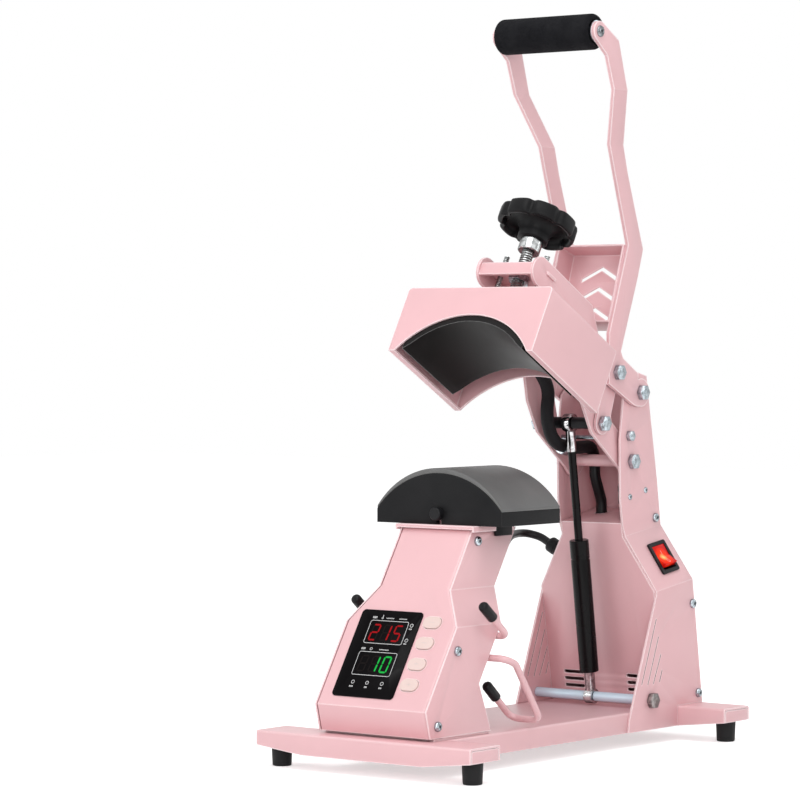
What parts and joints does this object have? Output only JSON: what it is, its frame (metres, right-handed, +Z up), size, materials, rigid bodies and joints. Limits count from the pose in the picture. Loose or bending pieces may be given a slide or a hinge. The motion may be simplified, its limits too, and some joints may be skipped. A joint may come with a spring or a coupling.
{
  "type": "cap heat press",
  "caption": "Clamshell cap heat press: a lever handle and gas spring swing a curved heating head over a curved lower platen on a control box, with a column and channel base.",
  "frame": {"origin": "centre of the bounding box at its base, on the surface that the four feet stand on", "axes": "+X to the machine's right as seen by the user in front, +Y to its back, +Z up; symmetry plane at X = 0 but for the switch, the cable and the small parts"},
  "size_m": [0.25, 0.462, 0.7137],
  "materials": {
    "powder_coat": "satin powder coat",
    "zinc_steel": "zinc plated",
    "chromed_steel": "bright",
    "black_plastic": "matte",
    "black_gloss": "gloss",
    "pink_plastic": "matte",
    "red_plastic": "gloss, lit",
    "black_rubber": "matte",
    "foam": "fine foam",
    "silicone": "smooth matt",
    "black_casting": "black coated casting",
    "board": "circuit board",
    "gas_tube_paint": "gloss black",
    "pale_blue_steel": "zinc plated, pale blue"
  },
  "bodies": {
    "base": {"front_crossbar": "powder_coat", "rear_crossbar": "powder_coat", "base_beam": "powder_coat", "column_left": "powder_coat", "column_right": "powder_coat", "column_front_panel": "powder_coat", "column_back_cover": "powder_coat", "box_front_cover": "powder_coat", "box_body": "powder_coat", "platen_seat": "powder_coat", "wire_clips": "powder_coat", "cover_screws": "zinc_steel", "frame_bolts": "zinc_steel", "inlet_socket": "black_plastic", "rocker_bezel": "black_plastic", "cable_gland": "black_plastic", "limit_switch": "black_plastic", "display_panel": "black_gloss", "rubber_feet": "black_rubber", "link_cable": "black_rubber", "harness_bundle": "black_rubber", "silicone_pad": "silicone", "platen_base": "black_casting", "controller_board": "board", "foot_tubes": "pale_blue_steel"},
    "arm": {"arm_left": "powder_coat", "arm_right": "powder_coat", "arm_cross_plate": "powder_coat", "lift_nut": "zinc_steel", "arm_tube": "powder_coat", "eye_spacers": "black_plastic", "eye_bolt": "zinc_steel", "harness_sleeve": "black_rubber"},
    "handle": {"handle_left": "powder_coat", "handle_right": "powder_coat", "handle_tray": "powder_coat", "grip_tube": "zinc_steel", "foam_grip": "foam", "grip_screws": "zinc_steel", "handle_bolts": "zinc_steel"},
    "links": {"link_left": "powder_coat", "link_right": "powder_coat"},
    "gas_cylinder": {"gas_cylinder": "gas_tube_paint"},
    "gas_rod": {"gas_rod": "zinc_steel"},
    "head": {"head_cover": "powder_coat", "heating_plate": "black_casting", "guide_rods": "zinc_steel"},
    "pressure_screw": {"pressure_screw": "chromed_steel", "pressure_knob": "black_plastic"},
    "upper_wire": {"upper_wire": "powder_coat", "upper_wire_tips": "black_rubber"},
    "lower_wire": {"lower_wire": "powder_coat", "lower_wire_tips": "black_rubber"},
    "rocker": {"rocker": "red_plastic"},
    "platen_knob": {"platen_knob": "black_plastic"},
    "button_1": {"button_1": "pink_plastic"},
    "button_2": {"button_2": "pink_plastic"},
    "button_3": {"button_3": "pink_plastic"},
    "button_4": {"button_4": "pink_plastic"}
  },
  "joints": [
    {"name": "arm_hinge", "type": "hinge", "parent": "base", "child": "arm", "pos_m": [0, 0.1514, 0.2779], "axis": [1, 0, 0], "range_deg": [0, 29.5], "stiffness_Nm_per_rad": 6, "springref_deg": -83.65},
    {"name": "handle_hinge", "type": "hinge", "parent": "base", "child": "handle", "pos_m": [0, 0.1602, 0.3461], "axis": [1, 0, 0], "range_deg": [0, 42.6]},
    {"name": "link_hinge", "type": "hinge", "parent": "arm", "child": "links", "pos_m": [0, 0.1014, 0.3165], "axis": [1, 0, 0], "range_deg": [-40.2, 0]},
    {"name": "gas_spring_hinge", "type": "hinge", "parent": "base", "child": "gas_cylinder", "pos_m": [-0.002, 0.139, 0.0435], "axis": [1, 0, 0], "range_deg": [0, 4.2]},
    {"name": "gas_rod_slide", "type": "slide", "parent": "gas_cylinder", "child": "gas_rod", "axis": [0, -0.1364, 0.9906], "range_m": [-0.0266, 0]},
    {"name": "knob_turn", "type": "hinge", "parent": "head", "child": "pressure_screw", "pos_m": [0, 0.03058, 0.48655], "axis": [0, -0.4924, -0.8704], "range_deg": [0, 2160]},
    {"name": "head_slide", "type": "slide", "parent": "arm", "child": "head", "axis": [0, -0.4924, -0.8704], "range_m": [0, 0.01051]},
    {"name": "upper_wire_hinge", "type": "hinge", "parent": "base", "child": "upper_wire", "pos_m": [0, -0.1065, 0.124], "axis": [1, 0, 0], "range_deg": [-60, 25]},
    {"name": "lower_wire_hinge", "type": "hinge", "parent": "base", "child": "lower_wire", "pos_m": [0, -0.116, 0.104], "axis": [1, 0, 0], "range_deg": [-3, 40]},
    {"name": "rocker_tilt", "type": "hinge", "parent": "base", "child": "rocker", "pos_m": [0.05119, 0.18208, 0.17971], "axis": [0, 0.9903, 0.1392], "range_deg": [0, 24]},
    {"name": "platen_knob_turn", "type": "hinge", "parent": "base", "child": "platen_knob", "pos_m": [0, -0.114, 0.2356], "axis": [0, -1, 0], "range_deg": [0, 720]},
    {"name": "button_1_press", "type": "slide", "parent": "base", "child": "button_1", "axis": [0, 0.8457, -0.5336], "range_m": [0, 0.0012], "stiffness_N_per_m": 400, "springref_m": -0.001},
    {"name": "button_2_press", "type": "slide", "parent": "base", "child": "button_2", "axis": [0, 0.8457, -0.5336], "range_m": [0, 0.0012], "stiffness_N_per_m": 400, "springref_m": -0.001},
    {"name": "button_3_press", "type": "slide", "parent": "base", "child": "button_3", "axis": [0, 0.8457, -0.5336], "range_m": [0, 0.0012], "stiffness_N_per_m": 400, "springref_m": -0.001},
    {"name": "button_4_press", "type": "slide", "parent": "base", "child": "button_4", "axis": [0, 0.8457, -0.5336], "range_m": [0, 0.0012], "stiffness_N_per_m": 400, "springref_m": -0.001}
  ],
  "couplings": [
    {"joint": "handle_hinge", "follows": "arm_hinge", "ratio": 1.4367},
    {"joint": "link_hinge", "follows": "arm_hinge", "ratio": -1.356},
    {"joint": "gas_spring_hinge", "follows": "arm_hinge", "ratio": 0.13564},
    {"joint": "gas_rod_slide", "follows": "arm_hinge", "m_per_rad": -0.05135},
    {"joint": "head_slide", "follows": "knob_turn", "m_per_rad": 0.00027852}
  ]
}
